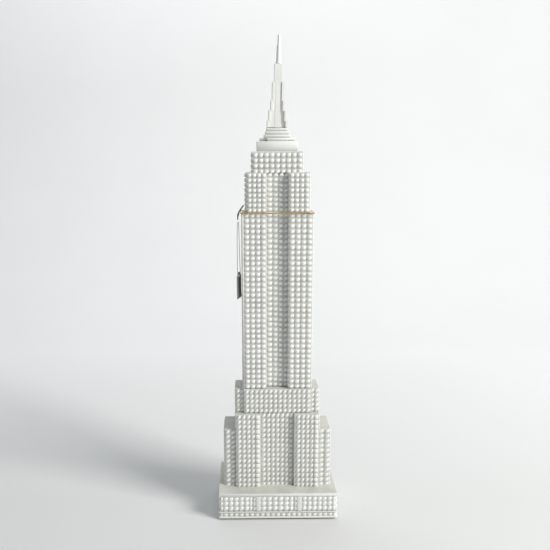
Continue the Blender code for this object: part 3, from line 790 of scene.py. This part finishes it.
KNOT_ROUTE = (
    (-0.0482, -0.0262, 0.4670),
    (-0.0512, -0.0268, 0.4630),
    (-0.0543, -0.0260, 0.4580),
    (-0.0560, -0.0236, 0.4533),
    (-0.0566, -0.0207, 0.4490),
    (-0.0564, -0.0180, 0.4458),
)
STRING_ROUTE = (
    (-0.0567, -0.0175, 0.4428),
    (-0.0571, -0.0178, 0.4380),
    (-0.0574, -0.0180, 0.4300),
    (-0.0576, -0.0181, 0.4200),
    (-0.0577, -0.0178, 0.4100),
    (-0.0577, -0.0172, 0.4000),
    (-0.0577, -0.0164, 0.3900),
    (-0.0577, -0.0154, 0.3800),
    (-0.0577, -0.0146, 0.3720),
    (-0.0576, -0.0144, 0.3685),
    (-0.0569, -0.0143, 0.3668),
    (-0.0556, -0.0140, 0.3660),
    (-0.0543, -0.0137, 0.3668),
    (-0.0536, -0.0136, 0.3685),
    (-0.0537, -0.0139, 0.3720),
    (-0.0540, -0.0146, 0.3800),
    (-0.0543, -0.0153, 0.3900),
    (-0.0546, -0.0158, 0.4000),
    (-0.0548, -0.0162, 0.4100),
    (-0.0550, -0.0164, 0.4200),
    (-0.0551, -0.0165, 0.4300),
    (-0.0553, -0.0167, 0.4380),
    (-0.0556, -0.0170, 0.4428),
)
STRING_DIAMETER = 0.0010


def smooth_route(points, step):
    """A Catmull-Rom curve through the points, with a point about every step."""
    points = [Vector(p) for p in points]
    padded = [points[0] * 2 - points[1], *points, points[-1] * 2 - points[-2]]
    route = [points[0]]
    for before, start, end, after in zip(padded, padded[1:], padded[2:], padded[3:]):
        count = max(1, round((end - start).length / step))
        for k in range(1, count + 1):
            t = k / count
            straight = start * 2 + (end - before) * t
            bent = (before * 2 - start * 5 + end * 4 - after) * t**2
            turned = (start * 3 - before - end * 3 + after) * t**3
            route.append((straight + bent + turned) / 2)
    return route


def sweep(name, route, section, material, body, nodes, closed=False):
    """Carries section(share along the route), a list of (sideways, upward) points, along the route."""
    count = len(route)
    points = []
    rings = []
    up = Vector((0, 0, 1)) if closed else Vector((0, 1, 0.2)).normalized()
    for k, place in enumerate(route):
        before = route[k - 1] if closed or k else place
        after = route[(k + 1) % count] if closed or k < count - 1 else place
        forward = (after - before).normalized()
        side = forward.cross(up).normalized()
        lift = side.cross(forward)
        ring = []
        for across, along in section(k / count):
            ring.append(len(points))
            points.append(place + side * across + lift * along)
        rings.append(ring)
    size = len(rings[0])
    faces = []
    for k in range(count if closed else count - 1):
        low, high = rings[k], rings[(k + 1) % count]
        for i in range(size):
            faces.append((low[i], high[i], high[(i + 1) % size], low[(i + 1) % size]))
    if not closed:
        faces.append(rings[0])
        faces.append(rings[-1][::-1])
    mesh = bpy.data.meshes.new(name)
    mesh.from_pydata(points, [], faces)
    bm = bmesh.new()
    bm.from_mesh(mesh)
    bmesh.ops.recalc_face_normals(bm, faces=bm.faces)
    bm.to_mesh(mesh)
    bm.free()
    mesh.polygons.foreach_set("use_smooth", [True] * len(faces))
    mesh.materials.append(material)
    piece = bpy.data.objects.new(name, mesh)
    bpy.context.scene.collection.objects.link(piece)
    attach(piece, body)
    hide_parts(*nodes)
    return piece


def oval(half_wide, half_high, sides=10, power=2.0):
    ring = []
    for k in range(sides):
        c, s = math.cos(math.tau * k / sides), math.sin(math.tau * k / sides)
        share = (abs(c) ** power + abs(s) ** power) ** (-1 / power)
        ring.append((half_wide * share * c, half_high * share * s))
    return ring


def make_string():
    """Two strands, one down from the knot and one back up, that carry the ticket in their bend."""
    route = smooth_route(STRING_ROUTE, 0.0020)
    radius = STRING_DIAMETER / 2
    string = sweep(
        "string", route, lambda _: oval(radius, radius, 8), cotton(), "tag", ["tag_string"]
    )
    ticket = make_ticket()


def make_ticket():
    """The card, whose lower end curls a little out of its plane."""
    node = frame["nodes"]["ticket"]
    low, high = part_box("ticket")
    hang, curl = high.z - 0.0090, 0.0005
    mesh = node.data.copy()
    bm = bmesh.new()
    bm.from_mesh(mesh)
    bmesh.ops.subdivide_edges(bm, edges=bm.edges, cuts=4, use_grid_fill=True)
    normal = Vector((0.966, -0.259, 0.0))  # the card hangs turned by 15 degrees
    for vertex in bm.verts:
        share = max(0.0, (hang - vertex.co.z) / (hang - low.z))
        vertex.co += normal * (curl * share**2)
    bm.to_mesh(mesh)
    bm.free()
    mesh.materials.clear()
    mesh.materials.append(ticket_card())
    piece = bpy.data.objects.new("paper_ticket", mesh)
    bpy.context.scene.collection.objects.link(piece)
    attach(piece, "tag")
    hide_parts("ticket")
    return piece


def make_band():
    """A flat rubber band that lies on the studs' tips and bridges the recess, and its knotted tail."""
    low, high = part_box("rubber_band")
    thick, tall = 0.0009, 0.0017
    clear, wave, tilt = 0.0001, 0.0002, 0.0070
    _, flank_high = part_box("shaft_flank_right")
    x, y = flank_high.x + thick / 2, high.y - thick / 2 - clear
    bend, steps = 0.0022, 6
    route = []
    for number, (sx, sy) in enumerate(((1, -1), (1, 1), (-1, 1), (-1, -1))):
        for k in range(steps + 1):
            angle = math.pi / 2 * (number - 1 + k / steps)
            place = (sx * (x - bend) + bend * math.cos(angle), sy * (y - bend) + bend * math.sin(angle), 0)
            route.append(Vector(place))
    whole = []
    for k, start in enumerate(route):
        end = route[(k + 1) % len(route)]
        count = max(1, round((end - start).length / 0.003))
        whole += [start.lerp(end, i / count) for i in range(count)]
    for point in whole:
        point.z = high.z - tall / 3 + wave * math.sin(95 * point.x + 60 * point.y) - tilt * point.x
    ring = oval(thick / 2, tall / 2, 12, 4.0)
    loop = tan_rubber()
    sweep("rubber_band_loop", whole, lambda _: ring, loop, "band", ["rubber_band"], closed=True)
    route = smooth_route(KNOT_ROUTE, 0.0012)

    def tail(share):
        knot = math.exp(-(((share - 0.62) / 0.13) ** 2))
        thickness = 0.0010 + 0.0004 * knot - 0.0004 * share**3
        return oval(thickness, thickness * 0.8, 10)

    # The knotted tail carries the painted shade
    sweep("band_tail", route, tail, shaded_rubber(), "band", ["band_knot"])


# Carried-over nodes


def paint_nodes():
    """Gives each CAD node its look. The edges of the mast are softened, because no casting replaces it."""
    looks = {
        "felt": felt(),
        "board": fibreboard(),
        "steel": zinc_steel(),
        "rubber": tan_rubber(),
        "string": cotton(),
        "card": ticket_card(),
        "white_resin": PLAIN,
    }
    slots = {part["node"]: part["material_slot"] for part in frame["record"]["subparts"]}
    for name, node in frame["nodes"].items():
        node.data.materials.clear()
        node.data.materials.append(looks[slots[name]])
        if name.startswith("mast") or name == "spire":
            soften(node)


# Studio


def make_studio():
    """A pale sheet that lies on the table and curves up behind the object."""
    front, depth, height, bend, half = -4.0, 0.9, 3.2, 0.8, 4.0
    below, steps = 0.0001, 12
    profile = [(front, 0.0), (depth, 0.0)]
    for step in range(1, steps + 1):
        angle = step / steps * math.pi / 2
        profile.append((depth + bend * math.sin(angle), bend * (1 - math.cos(angle))))
    profile.append((depth + bend, height))
    points = [(x, y, z - below) for y, z in profile for x in (-half, half)]
    faces = [(2 * k, 2 * k + 1, 2 * k + 3, 2 * k + 2) for k in range(len(profile) - 1)]
    mesh = bpy.data.meshes.new("studio_sheet")
    mesh.from_pydata(points, [], faces)
    mesh.polygons.foreach_set("use_smooth", [True] * len(faces))
    mesh.materials.append(studio_paper())
    sheet = bpy.data.objects.new("studio_sheet", mesh)
    bpy.context.scene.collection.objects.link(sheet)


def area_light(name, place, target, size, power, colour):
    light = bpy.data.lights.new(name, "AREA")
    light.shape = "RECTANGLE"
    light.size, light.size_y = size
    light.energy = power
    light.color = colour
    lamp = bpy.data.objects.new(name, light)
    bpy.context.scene.collection.objects.link(lamp)
    lamp.location = place
    lamp.rotation_euler = (Vector(target) - Vector(place)).to_track_quat("-Z", "Y").to_euler()


def make_lights():
    area_light("window", (1.96, -1.11, 1.72), (0.0, 0.0, 0.3), (1.0, 1.1), 78.0, (1.0, 0.985, 0.95))
    area_light("backdrop", (-0.5, 0.9, 2.3), (-0.6, 1.7, 0.8), (1.8, 0.5), 12.5, (0.95, 0.98, 0.99))
    world = bpy.data.worlds.new("soft room")
    world.use_nodes = True
    background = world.node_tree.nodes["Background"]
    background.inputs["Color"].default_value = (0.90, 0.94, 0.97, 1.0)
    background.inputs["Strength"].default_value = 0.39
    bpy.context.scene.world = world
    bpy.context.scene.view_settings.view_transform = "Standard"


make_camera()
make_string()
paint_nodes()
make_plinth()
make_panels()
make_podium()
make_belt()
make_shaft()
make_crown()
make_mast_web()
make_band()
make_studio()
make_lights()
